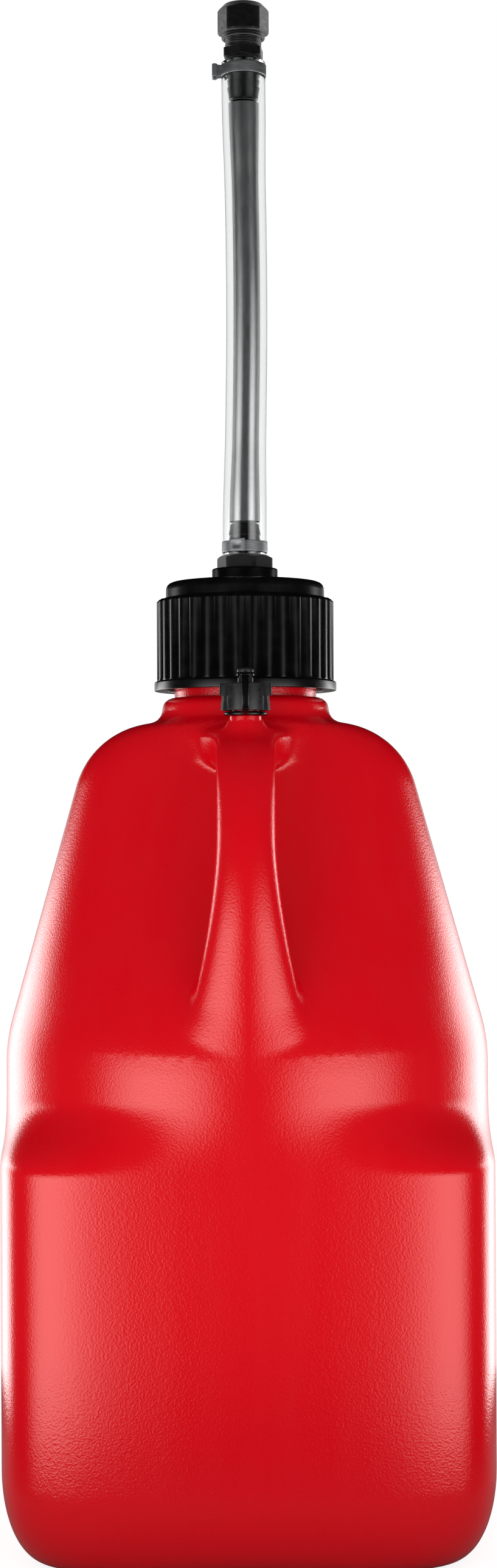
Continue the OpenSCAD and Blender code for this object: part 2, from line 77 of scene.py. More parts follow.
def addNode(tree, kind, sockets=None, **settings):
    node = tree.nodes.new(kind)
    for name, value in settings.items():
        setattr(node, name, value)
    for name, value in (sockets or {}).items():
        if isinstance(value, bpy.types.Node):  # a node stands for its first output
            value = value.outputs[0]
        if isinstance(value, bpy.types.NodeSocket):
            tree.links.new(value, node.inputs[name])
        else:
            node.inputs[name].default_value = value
    return node


def addMath(tree, operation, *values):
    return addNode(tree, "ShaderNodeMath", dict(enumerate(values)), operation=operation)


def addRange(tree, value, given, wanted=(0, 1), kind="LINEAR"):
    return addNode(tree, "ShaderNodeMapRange", {
        "Value": value, "From Min": given[0], "From Max": given[1], "To Min": wanted[0], "To Max": wanted[1]},
        interpolation_type=kind)


# camera: eye level with the cone, straight in front of the handle

cameraSet = Sizes(place=(0, -1.387, 0.3755), sensor=36, focalPx=4200, horizonPx=1350, middlePx=404.5, rollDeg=0.28)
imageW, imageH = 817, 2576


def addCamera():
    lens = bpy.data.cameras.new("jugCamera")
    lens.sensor_width = cameraSet.sensor
    lens.lens = cameraSet.sensor * cameraSet.focalPx / imageH
    lens.shift_x = (imageW / 2 - cameraSet.middlePx) / imageH
    lens.shift_y = (cameraSet.horizonPx - imageH / 2) / imageH
    camera = addObject("jugCamera", lens)
    camera.location = cameraSet.place
    camera.rotation_euler = (math.pi / 2, math.radians(cameraSet.rollDeg), 0)
    scene.camera = camera


addCamera()
print("camera set")

# materials; a pattern is (size in mm, detail, roughness, squeeze along x, y and z)

plain = (1, 1, 1)


def addFinish(name, look):
    # the pattern drives colour and gloss, the bump follows the grain or else the pattern
    material = bpy.data.materials.new(name)
    material.use_nodes = True
    tree = material.node_tree
    skin = tree.nodes["Principled BSDF"]
    place = addNode(tree, "ShaderNodeTexCoord").outputs["Object"]
    noise = {}
    for part in ("pattern", "clouds", "grain"):
        if part in look:
            size, detail, roughness, squeeze = look[part]
            way = addNode(tree, "ShaderNodeMapping", {"Vector": place, "Scale": squeeze})
            noise[part] = addNode(tree, "ShaderNodeTexNoise", {
                "Vector": way, "Scale": 1 / (size * mm), "Detail": detail, "Roughness": roughness})
    pattern = noise["pattern"]
    if "tones" in look:
        mixture = pattern
        if "clouds" in noise:
            mixture = addMath(tree, "ADD", pattern, noise["clouds"])
        tone = addNode(tree, "ShaderNodeValToRGB", {"Fac": mixture})
        for stop, (position, colour) in zip(tone.color_ramp.elements, look["tones"]):
            stop.position, stop.color = position, linearColour(colour)
        tree.links.new(tone.outputs[0], skin.inputs["Base Color"])
    if "gloss" in look:
        gloss = addRange(tree, pattern, (0.3, 0.7), look["gloss"])
        tree.links.new(gloss.outputs[0], skin.inputs["Roughness"])
    if "bump" in look:
        bump = addNode(tree, "ShaderNodeBump", {
            "Height": noise.get("grain", pattern), "Strength": look["bump"][0], "Distance": look["bump"][1] * mm})
        tree.links.new(bump.outputs[0], skin.inputs["Normal"])
    for socket, value in look["sockets"].items():
        skin.inputs[socket].default_value = value
    return material


# Blown high-density polyethylene: satin skin, faint flow streaks down the mould, fine peel in the highlights;
# the pigment close under the skin tints what it mirrors head-on
redSkin = addFinish("red blown polyethylene", {
    "pattern": (14, 3, 0.55, (1, 1, 0.06)), "clouds": (70, 2, 0.5, plain), "grain": (1.1, 1, 0.5, plain),
    "tones": ((0.35, "CC0010"), (0.65, "D60013")), "gloss": (0.17, 0.21), "bump": (0.4, 0.3),
    "sockets": {"IOR": 1.54, "Specular IOR Level": 0.9, "Specular Tint": linearColour("FFC4C0")}})

# Moulded polypropylene: black, a fine spark-eroded grain that breaks up the gloss
blackMould = addFinish("black moulded polypropylene", {
    "pattern": (9, 3, 0.5, plain), "grain": (0.5, 3, 0.5, plain), "tones": ((0.35, "050505"), (0.7, "080808")),
    "gloss": (0.2, 0.3), "bump": (0.1, 0.03), "sockets": {"IOR": 1.49}})

# Glass-filled nylon: black, smooth flats with faint mottling; fibres at the surface bloom grey at a low angle
nylon = addFinish("black glass-filled nylon", {
    "pattern": (2.2, 4, 0.5, plain), "tones": ((0.35, "050505"), (0.7, "0A0A0A")), "gloss": (0.34, 0.46),
    "bump": (0.1, 0.04), "sockets": {"IOR": 1.53, "Sheen Weight": 1, "Sheen Roughness": 0.3}})

# Soft polyethylene of the vent cap: charcoal, dulled by handling
charcoal = addFinish("charcoal moulded polyethylene", {
    "pattern": (2.5, 4, 0.5, plain), "tones": ((0.35, "1E1E1F"), (0.7, "2A2A2B")), "gloss": (0.24, 0.36),
    "bump": (0.1, 0.04), "sockets": {"IOR": 1.5}})

# Plasticised vinyl tube: clear, drawn lines along its length
vinyl = addFinish("clear drawn vinyl", {
    "pattern": (1.5, 2, 0.5, (1, 1, 0.02)), "gloss": (0.02, 0.06), "bump": (0.06, 0.03),
    "sockets": {"Base Color": linearColour("F6F7F7"), "Transmission Weight": 1, "IOR": 1.53}})

# A grey, slick film inside the bore: painted shade that stands in for the dark bore seen through the vinyl, mottled
# in long streaks along the tube
boreShadeFilm = addFinish("fuel-hazed bore", {
    "pattern": (4, 5, 0.65, (1, 1, 0.25)), "tones": ((0.3, "6E7071"), (0.75, "8A8C8D")), "gloss": (0.2, 0.26),
    "sockets": {"IOR": 2.2, "Specular IOR Level": 1}})

# Cold-rolled stainless strip: satin, fine roll lines round the band
stainless = addFinish("rolled stainless strip", {
    "pattern": (0.35, 2, 0.5, (0.06, 0.06, 1)), "tones": ((0.35, "A9ABAD"), (0.7, "C9CBCC")),
    "gloss": (0.5, 0.62), "bump": (0.15, 0.02), "sockets": {"Metallic": 1}})

# Nitrile rubber: dull black with a dusty bloom
rubber = addFinish("nitrile rubber", {
    "pattern": (3, 4, 0.5, plain), "tones": ((0.35, "131314"), (0.75, "242425")), "sockets": {"Roughness": 0.62}})

print("materials made")

# shape helpers, all in millimetres


def smoothStep(t):
    t = np.clip(t, 0, 1)
    return t * t * (3 - 2 * t)


def mixed(a, b, share):
    return a + (b - a) * share


def roundTurn(count):
    return np.linspace(0, 2 * math.pi, count, endpoint=False)


def rounded(corners, closed=True, steps=4):
    # a line through (along, up) corners, each eased by its third number
    line, count = [], len(corners)
    for i, corner in enumerate(corners):
        here, ease = Vector(corner[:2]), corner[2] if len(corner) > 2 else 0
        if ease == 0 or (not closed and i in (0, count - 1)):
            line.append(tuple(here))
            continue
        back, ahead = Vector(corners[i - 1][:2]) - here, Vector(corners[(i + 1) % count][:2]) - here
        run = min(ease / math.tan(max(back.angle(ahead) / 2, 0.05)), 0.49 * back.length, 0.49 * ahead.length)
        start, end = here + back.normalized() * run, here + ahead.normalized() * run
        for k in range(steps + 1):
            t = k / steps
            line.append(tuple((1 - t) ** 2 * start + 2 * t * (1 - t) * here + t * t * end))
    return line


def addPiece(name, points, faces, finish, sharpDeg=38):
    mesh = bpy.data.meshes.new(name)
    mesh.from_pydata([tuple(c * mm for c in p) for p in points], [], faces)
    shape = bmesh.new()
    shape.from_mesh(mesh)
    bmesh.ops.remove_doubles(shape, verts=shape.verts, dist=1e-7)
    bmesh.ops.dissolve_degenerate(shape, edges=shape.edges, dist=1e-8)
    bmesh.ops.recalc_face_normals(shape, faces=shape.faces)
    for face in shape.faces:
        face.smooth = True
    shape.to_mesh(mesh)
    shape.free()
    mesh.set_sharp_from_angle(angle=math.radians(sharpDeg))
    mesh.materials.append(finish)
    return addObject(name, mesh)


def loftFaces(rings, count, start=0, loop=False):
    # quads between neighbouring rings of count points; a loft that isn't a loop is capped at both ends
    faces = []
    for i in range(rings if loop else rings - 1):
        here, ahead = start + i * count, start + (i + 1) % rings * count
        faces += [(here + j, here + (j + 1) % count, ahead + (j + 1) % count, ahead + j) for j in range(count)]
    if not loop:
        last = start + (rings - 1) * count
        faces += [tuple(range(start, start + count)), tuple(range(last, last + count))]
    return faces


def turned(name, profile, finish, sides, middle=(0, 0), startDeg=0):
    # a closed profile of (radius, height) turned round an upright line; profile may depend on the angle
    points = []
    for j in range(sides):
        angle = math.radians(startDeg) + 2 * math.pi * j / sides
        line = profile(angle) if callable(profile) else profile
        points += [(middle[0] + r * math.cos(angle), middle[1] + r * math.sin(angle), z) for r, z in line]
    return addPiece(name, points, loftFaces(sides, len(points) // sides, loop=True), finish)


def swept(name, path, side, section, finish, closed=False, shape=None):
    # a closed section of (across, out) carried along a flat path; side is square to the path's plane
    side, path, points = Vector(side), [Vector(p) for p in path], []
    for i, p in enumerate(path):
        back = path[i - 1] if closed or i else p
        ahead = path[(i + 1) % len(path)] if closed or i < len(path) - 1 else p
        out = (ahead - back).normalized().cross(side)
        points += [tuple(p + side * s + out * u) for s, u in (shape(p, section) if shape else section)]
    return addPiece(name, points, loftFaces(len(path), len(section), loop=closed), finish)


def bakeModifiers(piece):  # the finished shape as a plain mesh
    ready = piece.evaluated_get(bpy.context.evaluated_depsgraph_get())
    mesh = bpy.data.meshes.new_from_object(ready)
    piece.modifiers.clear()
    piece.data = mesh


def merge(piece, *others):  # other meshes go into the piece, with their materials
    shape = bmesh.new()
    shape.from_mesh(piece.data)
    for other in others:
        start = len(shape.faces)
        shape.from_mesh(other.data)
        shape.faces.ensure_lookup_table()
        for face in shape.faces[start:]:
            material = other.data.materials[face.material_index]
            if material.name not in piece.data.materials:
                piece.data.materials.append(material)
            face.material_index = piece.data.materials.find(material.name)
        bpy.data.objects.remove(other)
    shape.to_mesh(piece.data)
    shape.free()


def turnedEven(*shape, **more):  # a turned piece whose flats stay flat beside its rounded edges
    piece = turned(*shape, **more)
    piece.modifiers.new("even normals", "WEIGHTED_NORMAL").keep_sharp = True
    bakeModifiers(piece)
    return piece


def fit(piece, body, slot, *nodes):
    if body:
        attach(piece, body)
    if nodes:
        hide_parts(*nodes)
    print("made", piece.name)
    return piece


# node trees


def newTree(name, **inputs):
    tree = bpy.data.node_groups.new(name, "GeometryNodeTree")
    for label, kind in {"Geometry": "Geometry", **inputs}.items():
        tree.interface.new_socket(label, in_out="INPUT", socket_type="NodeSocket" + kind)
    tree.interface.new_socket("Geometry", in_out="OUTPUT", socket_type="NodeSocketGeometry")
    return tree, addNode(tree, "NodeGroupInput").outputs


def endTree(tree, geometry, material):
    whole = addNode(tree, "GeometryNodeRealizeInstances", {"Geometry": geometry})
    painted = addNode(tree, "GeometryNodeSetMaterial", {"Geometry": whole, "Material": material})
    addNode(tree, "NodeGroupOutput", {0: painted})
    return tree


def runTree(piece, tree, values):
    step = piece.modifiers.new(tree.name, "NODES")
    step.node_group = tree
    for socket in tree.interface.items_tree:
        if socket.in_out == "INPUT" and socket.name in values:
            step[socket.identifier] = values[socket.name]
    bakeModifiers(piece)


def grown(tree, values):  # a new piece that the tree makes by itself
    piece = addObject(tree.name, bpy.data.meshes.new(tree.name))
    runTree(piece, tree, values)
    return piece


def screwThreadTree():
    # a rounded ridge wound up a cylinder, tapered at both ends
    tree, given = newTree("screw thread", Turns="Float", Radius="Float", Lead="Float", Ridge="Float",
                          Foot="Vector", Finish="Material")
    rise = addMath(tree, "MULTIPLY", given["Turns"], given["Lead"])
    helix = addNode(tree, "GeometryNodeCurveSpiral", {
        "Resolution": 72, "Rotations": given["Turns"], "Height": rise, "Start Radius": given["Radius"],
        "End Radius": given["Radius"]})
    taper = addNode(tree, "GeometryNodeSplineParameter").outputs["Factor"]
    for operation, value in (("MULTIPLY", math.pi), ("SINE", 0), ("POWER", 0.35)):
        taper = addMath(tree, operation, taper, value)
    sized = addNode(tree, "GeometryNodeSetCurveRadius", {"Curve": helix, "Radius": taper})
    section = addNode(tree, "GeometryNodeCurvePrimitiveCircle", {"Resolution": 10, "Radius": given["Ridge"]})
    ridge = addNode(tree, "GeometryNodeCurveToMesh", {"Curve": sized, "Profile Curve": section, "Fill Caps": True})
    placed = addNode(tree, "GeometryNodeTransform", {"Geometry": ridge, "Translation": given["Foot"]})
    smooth = addNode(tree, "GeometryNodeSetShadeSmooth", {"Geometry": placed})
    return endTree(tree, smooth, given["Finish"])


def gripRibTree():
    # ribs pressed into whatever carries the rib attribute: round crests, sharp valleys
    tree, given = newTree("grip ribs", Count="Float", Depth="Float", Finish="Material")
    place = addNode(tree, "ShaderNodeSeparateXYZ", {0: addNode(tree, "GeometryNodeInputPosition")}).outputs
    half = addMath(tree, "MULTIPLY", given["Count"], 0.5)
    share = addNode(tree, "GeometryNodeInputNamedAttribute", {"Name": "rib"}, data_type="FLOAT")
    draw = place[1]
    for operation, value in (("ARCTAN2", place[0]), ("MULTIPLY", half), ("SINE", 0), ("ABSOLUTE", 0),
                             ("SUBTRACT", 1), ("MULTIPLY", given["Depth"]),
                             ("MULTIPLY", share.outputs["Attribute"])):
        draw = addMath(tree, operation, draw, value)
    flat = addNode(tree, "ShaderNodeCombineXYZ", {0: place[0], 1: place[1]})
    outward = addNode(tree, "ShaderNodeVectorMath", {0: flat}, operation="NORMALIZE")
    shift = addNode(tree, "ShaderNodeVectorMath", {0: outward, "Scale": draw}, operation="SCALE")
    moved = addNode(tree, "GeometryNodeSetPosition", {"Geometry": given["Geometry"], "Offset": shift})
    return endTree(tree, moved, given["Finish"])


def barRowTree():
    # a row of equal upright bars
    tree, given = newTree("bar row", Count="Int", Start="Vector", Step="Vector", Bar="Vector", Finish="Material")
    line = addNode(tree, "GeometryNodeMeshLine", {
        "Count": given["Count"], "Start Location": given["Start"], "Offset": given["Step"]})
    bar = addNode(tree, "GeometryNodeMeshCylinder", {"Vertices": 10, "Radius": 0.5, "Depth": 1})
    slim = addNode(tree, "GeometryNodeTransform", {"Geometry": bar, "Scale": given["Bar"]})
    row = addNode(tree, "GeometryNodeInstanceOnPoints", {"Points": line, "Instance": slim})
    return endTree(tree, row, given["Finish"])


screwThread, gripRibs, barRow = screwThreadTree(), gripRibTree(), barRowTree()


def threadOn(piece, finish, radius, sizes, foot):
    merge(piece, grown(screwThread, {
        "Turns": sizes.threadTurns, "Radius": radius * mm, "Lead": sizes.threadLead * mm,
        "Ridge": sizes.threadRidge * mm, "Foot": [c * mm for c in foot], "Finish": finish}))


print("node trees ready")

# filler hose, with a barbed tail in each end

barbSet = Sizes(crest=8.85, root=8.0, bore=6, lead=2.5, pitch=4, step=0.15, gap=0.2, tip=0.8, footCount=3,
                topCount=4)
# hose sizes; the film's gap and wall place the grey sheet of painted bore shade inside the bore
hoseSet = Sizes(outside=22.2, bore=15.9, gripBore=17.9, ease=50, bow=1.5, shift=0.5, hazeGap=0.7, hazeWall=0.15,
                rings=60)
hoseFoot, hoseTop = (corner.z for corner in nodeBox("filler_hose"))
hoseLength = hoseTop - hoseFoot


def tailLength(count):
    return 2 * barbSet.lead + count * barbSet.pitch


footTailEnd = hoseFoot + tailLength(barbSet.footCount)
topTailEnd = hoseTop - tailLength(barbSet.topCount)


def hoseLean(z):
    u = np.clip((z - hoseFoot) / hoseLength, 0, 1)
    return hoseSet.bow * np.sin(math.pi * u) ** 2 + hoseSet.shift * smoothStep(u)


def makeHose():
    heights = np.linspace(hoseFoot, hoseTop, hoseSet.rings)
    pastTail = np.minimum(heights - footTailEnd, topTailEnd - heights)
    grip = 1 - smoothStep(pastTail / hoseSet.ease)
    bore = mixed(hoseSet.bore, hoseSet.gripBore, grip) / 2
    # the wall keeps its volume where a tail stretches it
    wall = np.sqrt(hoseSet.outside ** 2 / 4 - hoseSet.bore ** 2 / 4 + bore ** 2)
    outline = list(zip(wall, heights)) + list(zip(bore[::-1], heights[::-1]))
    hose = turned("fillerHose", outline, vinyl, 72)
    clear = pastTail > 0  # the film of painted bore shade lies between the two tails
    film = bore[clear] - hoseSet.hazeGap
    inside = film - hoseSet.hazeWall
    stain = list(zip(film, heights[clear])) + list(zip(inside[::-1], heights[clear][::-1]))
    # the film is painted shade: a grey sheet put where the bore has only shade
    merge(hose, turned("stain", stain, boreShadeFilm, 48))
    for v in hose.data.vertices:
        v.co.x += hoseLean(v.co.z / mm) * mm
    return fit(hose, "cap", "clear_vinyl", "filler_hose")


hose = makeHose()

# hex fittings


def hexEdge(angle, sizes):  # reach of a hex with trimmed corners, and how far its chamfer drops there
    off = (angle - math.radians(sizes.turn)) % (math.pi / 3) - math.pi / 6
    reach = min(sizes.hex / 2 / math.cos(off), sizes.corner)
    return reach, (reach - sizes.flat) * math.tan(math.radians(sizes.chamferDeg))


def barbCorners(base, way, count):
    # corners of a barbed tail that leaves base upwards (way 1) or downwards (way -1)
    root, end = barbSet.root, tailLength(count)
    corners = [(root, 0)]
    for k in range(count):
        z = barbSet.lead + k * barbSet.pitch
        corners += [(root, z), (barbSet.crest, z + barbSet.step, 0.12), (root, z + barbSet.pitch - barbSet.gap)]
    corners += [(root - 0.1, end - barbSet.tip, 0.4), (root - 1, end, 0.3)]
    return [(r, base + way * z, *ease) for r, z, *ease in corners]


adapterSet = Sizes(hex=26.7, corner=15.25, turn=-10, flat=12.3, chamferDeg=30, hexHeight=7.4, shank=10.4, edge=0.3)


def makeAdapter():
    low, high = nodeBox("hose_adapter")
    bore, shank, base = barbSet.bore, adapterSet.shank, hoseFoot - adapterSet.hexHeight
    tail = barbCorners(hoseFoot, 1, barbSet.footCount)

    def profile(angle):
        reach, drop = hexEdge(angle, adapterSet)
        corners = [(bore, low.z, 0.4), (shank, low.z, 0.8), (shank, base), (reach, base, adapterSet.edge),
                   (reach, hoseFoot - drop, 0.2), (adapterSet.flat, hoseFoot, 0.3)]
        return rounded(corners + tail + [(bore, high.z, 0.3)], steps=3)

    adapter = turnedEven("hoseAdapter", profile, nylon, 120, startDeg=adapterSet.turn)
    return fit(adapter, "cap", "black_nylon", "hose_adapter")


nozzleSet = Sizes(hex=20.2, corner=11.5, turn=23, flat=9.3, chamferDeg=30, hexHeight=5.6, spout=18, edge=0.3,
                  threadRoot=9.25, threadSink=0.05, threadRidge=0.72, threadLead=1.814, threadTurns=8.6,
                  threadFoot=1)


def makeNozzle():
    low, high = nodeBox("nozzle")
    hexTop = nodeBox("nozzle_washer")[0].z - nozzleSet.spout
    base, bore, root = hexTop - nozzleSet.hexHeight, barbSet.bore, nozzleSet.threadRoot
    middle = ((low.x + high.x) / 2, 0)
    tail = barbCorners(hoseTop, -1, barbSet.topCount)[::-1]

    def profile(angle):
        reach, drop = hexEdge(angle, nozzleSet)
        corners = [(barbSet.root, base - 0.2, 0.4), (nozzleSet.flat, base, 0.2), (reach, base + drop, 0.2),
                   (reach, hexTop, nozzleSet.edge), (root, hexTop, 0.5), (root, high.z, 0.8),
                   (bore, high.z, 0.5), (bore, topTailEnd, 0.3)]
        return rounded(tail + corners, steps=3)

    nozzle = turnedEven("nozzleBarb", profile, nylon, 120, middle, nozzleSet.turn)
    threadOn(nozzle, nylon, root - nozzleSet.threadSink, nozzleSet, (*middle, hexTop + nozzleSet.threadFoot))
    return fit(nozzle, "cap", "black_nylon", "nozzle")


nozzleCapSet = Sizes(hex=26, corner=13.9, turn=0, flat=10.75, chamferDeg=48, lip=11.75, lipTall=1.1, neck=11.2,
                     neckTall=2.6, bore=10.35, top=4, edge=0.35)


def makeNozzleCap():
    low, high = nodeBox("nozzle_cap")
    middle = ((low.x + high.x) / 2, 0)
    lip, neck, bore = pick(nozzleCapSet, "lip", "neck", "bore")
    lipTop, hexBase = low.z + nozzleCapSet.lipTall, low.z + nozzleCapSet.neckTall
    ceiling = high.z - nozzleCapSet.top

    def profile(angle):
        reach, drop = hexEdge(angle, nozzleCapSet)
        return rounded([
            (bore, low.z, 0.3), (lip, low.z, 0.5), (lip, lipTop, 0.5), (neck, lipTop + 0.5, 0.4),
            (neck, hexBase, 0.3), (reach - 0.6, hexBase, 0.2), (reach, hexBase + 0.8, 0.2),
            (reach, high.z - drop, nozzleCapSet.edge), (nozzleCapSet.flat, high.z, 0.6), (0, high.z),
            (0, ceiling), (bore, ceiling, 0.3)], steps=3)

    return fit(turnedEven("nozzleCap", profile, nylon, 120, middle), "nozzle_cap", "black_nylon", "nozzle_cap")


makeAdapter()
nozzle, nozzleCap = makeNozzle(), makeNozzleCap()

# ear clamps

clampSet = Sizes(inner=11.68, thick=0.7, width=6, earWidth=7.4, earNeck=4.4, earOut=4.6, earGap=0.06, headOut=2.2,
                 headTall=0.45, headFrom=1.4, headFade=1.2, dimple=0.55, dimpleShare=0.62, dimpleFade=0.25,
                 lowerTurn=255, upperTurn=180)


def makeClamp(name, node, turnDeg):
    low, high = nodeBox(node)
    height = (low.z + high.z) / 2
    line = clampSet.inner + clampSet.thick / 2
    neck, head, out = clampSet.earNeck / 2, clampSet.earWidth / 2, line + clampSet.earOut
    start = math.asin(neck / line) + clampSet.earGap
    band = [(line * math.cos(a), line * math.sin(a)) for a in np.linspace(start, 2 * math.pi - start, 90)]
    foot, headFoot = math.sqrt(line ** 2 - neck ** 2), out - clampSet.headOut
    ear = [(foot, neck, 0.6), (headFoot, neck, 0.6), (headFoot + 0.3, head, 0.7), (out, head, 0.9)]
    face = [(out, head * k / 4) for k in (-2, -1, 0, 1, 2)]
    ear = rounded([band[-1], *[(x, -y, ease) for x, y, ease in ear], *face, *ear[::-1], band[0]], closed=False)
    t, w = clampSet.thick / 2, clampSet.width / 2
    outer = [(s * w, t) for s in (-0.6, -0.45, -0.3, 0, 0.3, 0.45, 0.6)]
    section = rounded([(-w, t, 0.3), *outer, (w, t, 0.3), (w, -t, 0.2), (-w, -t, 0.2)], steps=3)

    def dent(off, half):
        return float(smoothStep((clampSet.dimpleShare * half - abs(off)) / (clampSet.dimpleFade * half)))

    def pressed(p, ring):  # the ear's head stands taller than the band, with a dimple pressed into its face
        share = float(smoothStep((p.x - line - clampSet.headFrom) / clampSet.headFade))
        ring = [(s * (1 + clampSet.headTall / w * share), u) for s, u in ring]
        deep = clampSet.dimple * float(smoothStep((p.x - out + 0.15) / 0.1)) * dent(p.y, head)
        return [(s, u - deep * dent(s, w) if u > 0 else u) for s, u in ring]

    path = [(x, y, 0) for x, y in band[1:-1] + ear]
    clamp = swept(name, path, (0, 0, 1), section, stainless, True, pressed)
    spin, lean = math.radians(turnDeg), hoseLean(height)
    for v in clamp.data.vertices:
        x, y = v.co.x, v.co.y
        v.co.x = x * math.cos(spin) - y * math.sin(spin) + lean * mm
        v.co.y = x * math.sin(spin) + y * math.cos(spin)
        v.co.z += height * mm
    return fit(clamp, "cap", "stainless_band", node)


makeClamp("lowerClamp", "lower_clamp", clampSet.lowerTurn)
upperClamp = makeClamp("upperClamp", "upper_clamp", clampSet.upperTurn)

# jug body: shell, scooped front and handle run into each other through one smooth field

jugSet = Sizes(half=130, square=7, bow=0.12, footHeight=44, footIn=20, standWidth=18, recess=4, wallFoot=70,
               cornerZ=199, cornerFade=37, shoulderZ=259, shoulderR=90, leanDeg=15.6, domeR=46, deckZ=429, arch=1.8,
               archRise=30, archFrom=60, archFade=40)
scoopSet = Sizes(front=51, lead=7, curve=1.5, ease=12, below=20, fade=30)
# a pair is a size at the grip and at the foot
handleSet = Sizes(width=(30.4, 68), thick=(23, 40), belly=(16.6, 13), sidePower=(2, 1.5), frontPower=(2.6, 1.5),
                  inset=0.6, crownDrop=3, rise=61, sink=14, back=21, crown=29, bend=54, flareRise=108, flare=1.6,
                  toe=13, toeRise=26, crownY=-108, crownLong=28, crownPower=2.4, rootBelly=10, rootY=-79,
                  rootLong=24, rootOut=8)
# how softly the handle runs into the shell, and the box in which it does
joinSet = Sizes(crease=0.8, side=8, sideZ=264, root=5, rootZ=380, rise=30, seat=9, seatZ=400, nearX=60, nearY=-20,
                nearZ=225)
neckSet = Sizes(collar=45, beadZ=436.5, beadRound=6, beadFrom=405, fillet=9, neck=38.4, bore=34.5, foot=5,
                threadLead=6, threadTurns=2.2, threadRidge=1.7, threadFoot=470,
                rough=((50, 424), (50, 429), (45.5, 433), (45, 438), (43, 442), (38, 444.5)))
ventSeatSet = Sizes(seat=8.4, neck=7.2, bore=5.2, foot=12, mould=8.3, mouldDrop=0.8, threadLead=3, threadTurns=2.4,
                    threadRidge=0.8, threadFoot=4)
skinSet = Sizes(voxel=2.6, passes=24, evenPasses=22, longestMove=3, grid=0.5, gridReach=160, gridLow=-12,
                gridHigh=446, roughStep=6)

ventSealLow, ventSealHigh = nodeBox("vent_seal")
ventCapLow, ventCapHigh = nodeBox("vent_cap")
ventY = (ventSealLow.y + ventSealHigh.y) / 2
ventSeatZ = nodeBox("vent_tether")[0].z

jugHalf, shoulderZ, shoulderR, domeR, deckZ = pick(jugSet, "half", "shoulderZ", "shoulderR", "domeR", "deckZ")
lean = math.radians(jugSet.leanDeg)
shoulderC = shoulderZ - shoulderR * math.tan(lean / 2)
domeZ = deckZ - domeR
coneTop = domeZ + domeR * math.sin(lean)
domeX = jugHalf - (coneTop - shoulderZ) * math.tan(lean) - domeR * math.cos(lean)
gripY = -(jugHalf - handleSet.thick[0] / 2 - handleSet.inset)
gripTop = deckZ - handleSet.crownDrop - handleSet.thick[0] / 2
gripMid = shoulderZ + handleSet.rise
gripEnd = shoulderZ - handleSet.sink
gripLine = np.array([(ventY + handleSet.back, gripTop), (ventY - handleSet.crown, gripTop),
                     (gripY, gripMid + handleSet.bend), (gripY, gripMid)])


def shellProfile():
    footIn, recess = jugSet.footIn, jugSet.recess
    stand = jugHalf - footIn
    inner = stand - jugSet.standWidth
    line = [(0, recess), (inner - recess, recess), (inner, 0)]
    line += [(stand + footIn * math.cos(a), jugSet.footHeight * (1 + math.sin(a)))
             for a in np.linspace(-math.pi / 2, 0, 25)]
    line += [(jugHalf, z) for z in np.linspace(jugSet.wallFoot, shoulderC - 2, 12)]
    line += [(jugHalf - shoulderR * (1 - math.cos(a)), shoulderC + shoulderR * math.sin(a))
             for a in np.linspace(0, lean, 9)]
    line += [(domeX + domeR * math.cos(a), domeZ + domeR * math.sin(a)) for a in np.linspace(lean, math.pi / 2, 25)]
    return np.array(line + [(0, deckZ)])


def radiusAt(z):  # the half profile's reach at one height
    if z < shoulderC + shoulderR * math.sin(lean):
        return jugHalf - shoulderR + math.sqrt(shoulderR ** 2 - max(z - shoulderC, 0) ** 2)
    if z < coneTop:
        return jugHalf - (z - shoulderZ) * math.tan(lean)
    return domeX + math.sqrt(max(domeR ** 2 - (z - domeZ) ** 2, 0))


def scoopShare(z):  # how far the scoop draws the front in, as a share of the reach
    reach, soft = radiusAt(z), scoopSet.ease
    t = min(max((z - shoulderZ) / (deckZ - shoulderZ), 0), 1)
    wall = mixed(scoopSet.front, jugHalf + scoopSet.lead, (1 - t) ** scoopSet.curve)
    ease = max(1 - abs(reach - wall) / soft, 0)
    drawn = (min(reach, wall) - ease * ease * soft / 4) / reach
    return 1 - (1 - drawn) * float(smoothStep((z - shoulderC + scoopSet.below) / scoopSet.fade))


scoopHeights = np.concatenate([np.arange(shoulderC - scoopSet.below, deckZ - 4, 1),
                               np.linspace(deckZ - 4, deckZ, 60)])
scoopShares = np.array([scoopShare(z) for z in scoopHeights])


def planNorm(x, y, z):
    # size of the plan through a point: a square with bowed faces that turns round towards the shoulder
    share = mixed(jugSet.bow, 1, smoothStep((z - jugSet.cornerZ) / jugSet.cornerFade))
    n = jugSet.square
    return (1 - share) * (x ** n + y ** n) ** (1 / n) + share * np.hypot(x, y)


def planRadius(p):
    x, y, z = p.T
    y = np.where(y < 0, -y / np.interp(z, scoopHeights, scoopShares, left=1), y)
    return planNorm(np.abs(x), y, z)


def profileField():
    # signed distance to the half profile on a grid, read back between its points
    line, step, low = shellProfile(), skinSet.grid, skinSet.gridLow
    radii, heights = np.arange(0, skinSet.gridReach, step), np.arange(low, skinSet.gridHigh, step)
    r, z = np.meshgrid(radii, heights, indexing="ij")
    near, inside = np.full(r.shape, 1e9), np.zeros(r.shape, bool)
    for (r0, z0), (r1, z1) in zip(line[:-1], line[1:]):
        dr, dz = r1 - r0, z1 - z0
        t = np.clip(((r - r0) * dr + (z - z0) * dz) / (dr * dr + dz * dz), 0, 1)
        near = np.minimum(near, np.hypot(r - r0 - t * dr, z - z0 - t * dz))
        if dz:
            inside ^= ((z0 > z) != (z1 > z)) & (r < r0 + (z - z0) / dz * dr)
    grid = np.where(inside, -near, near)

    def read(r, z):
        u = np.clip(r / step, 0, len(radii) - 1.001)
        v = np.clip((z - low) / step, 0, len(heights) - 1.001)
        i, j = u.astype(int), v.astype(int)
        fu, fv = u - i, v - j
        return ((grid[i, j] * (1 - fu) + grid[i + 1, j] * fu) * (1 - fv)
                + (grid[i, j + 1] * (1 - fu) + grid[i + 1, j + 1] * fu) * fv)

    return read


